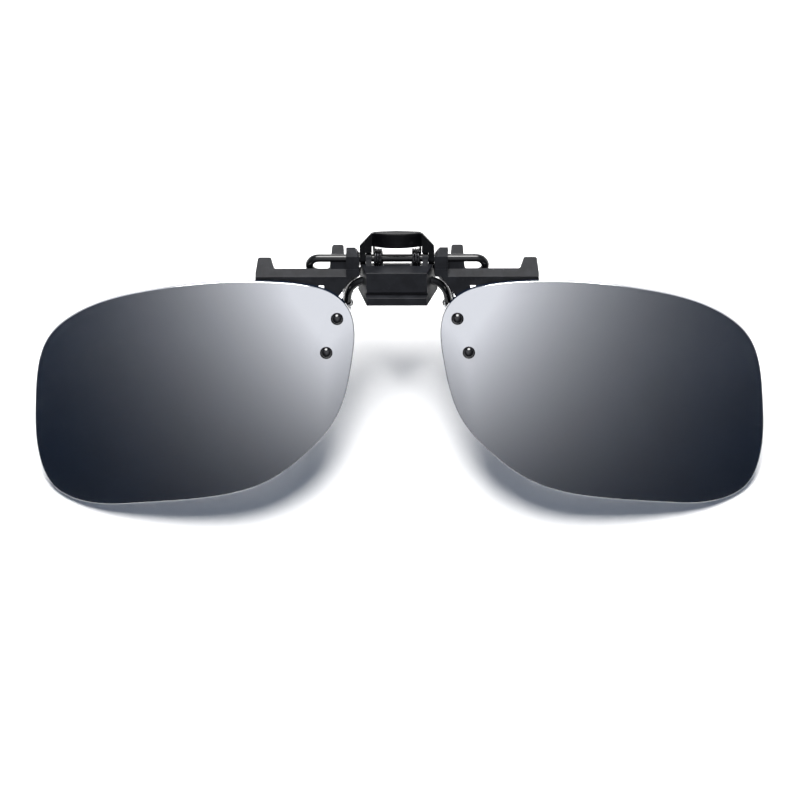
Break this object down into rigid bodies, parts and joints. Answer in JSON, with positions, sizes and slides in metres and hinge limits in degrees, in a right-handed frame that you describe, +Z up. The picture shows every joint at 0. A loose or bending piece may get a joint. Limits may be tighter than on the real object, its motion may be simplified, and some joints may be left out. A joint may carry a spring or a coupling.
{
  "type": "clip-on flip-up lenses",
  "caption": "Rimless tinted clip-on lenses on a sprung clip that grips spectacles, with a hinge that flips the lenses up and forward.",
  "frame": {"origin": "middle of the grip, between the silicone tips of the front and the rear legs", "axes": "+X to the right, -Y to the front where the lens fronts face, +Z up, as it hangs on a pair of spectacles"},
  "size_m": [0.1382, 0.0134, 0.055],
  "materials": {
    "tinted_lens": "grey polarised lens, hard glossy coating",
    "black_plastic": "semi-gloss moulded black plastic",
    "black_wire": "glossy black coated steel wire",
    "spring_steel": "dark oiled spring steel",
    "clear_silicone": "clear soft silicone",
    "rivet_plastic": "glossy black moulded plastic"
  },
  "bodies": {
    "clip": {"front_body": "black_plastic", "front_leg_wire": "black_wire", "left_front_sleeve": "clear_silicone", "right_front_sleeve": "clear_silicone", "left_torsion_spring": "spring_steel", "right_torsion_spring": "spring_steel"},
    "lens_assembly": {"axle_wire": "black_wire", "left_lens": "tinted_lens", "left_lens_bracket": "black_plastic", "left_upper_rivet": "rivet_plastic", "left_lower_rivet": "rivet_plastic", "left_upper_rivet_cap": "rivet_plastic", "left_lower_rivet_cap": "rivet_plastic", "right_lens": "tinted_lens", "right_lens_bracket": "black_plastic", "right_upper_rivet": "rivet_plastic", "right_lower_rivet": "rivet_plastic", "right_upper_rivet_cap": "rivet_plastic", "right_lower_rivet_cap": "rivet_plastic"},
    "squeeze_lever": {"rear_lever": "black_plastic", "rear_leg_wire": "black_wire", "left_rear_sleeve": "clear_silicone", "right_rear_sleeve": "clear_silicone"}
  },
  "joints": [
    {"name": "flip", "type": "hinge", "parent": "clip", "child": "lens_assembly", "pos_m": [0, -0.00415, 0.0175], "axis": [-1, 0, 0], "range_deg": [0, 90]},
    {"name": "squeeze", "type": "hinge", "parent": "clip", "child": "squeeze_lever", "pos_m": [0, -0.00415, 0.0175], "axis": [1, 0, 0], "range_deg": [0, 25], "stiffness_Nm_per_rad": 0.04, "springref_deg": -28.65, "deforming": ["left_torsion_spring", "right_torsion_spring"]}
  ]
}
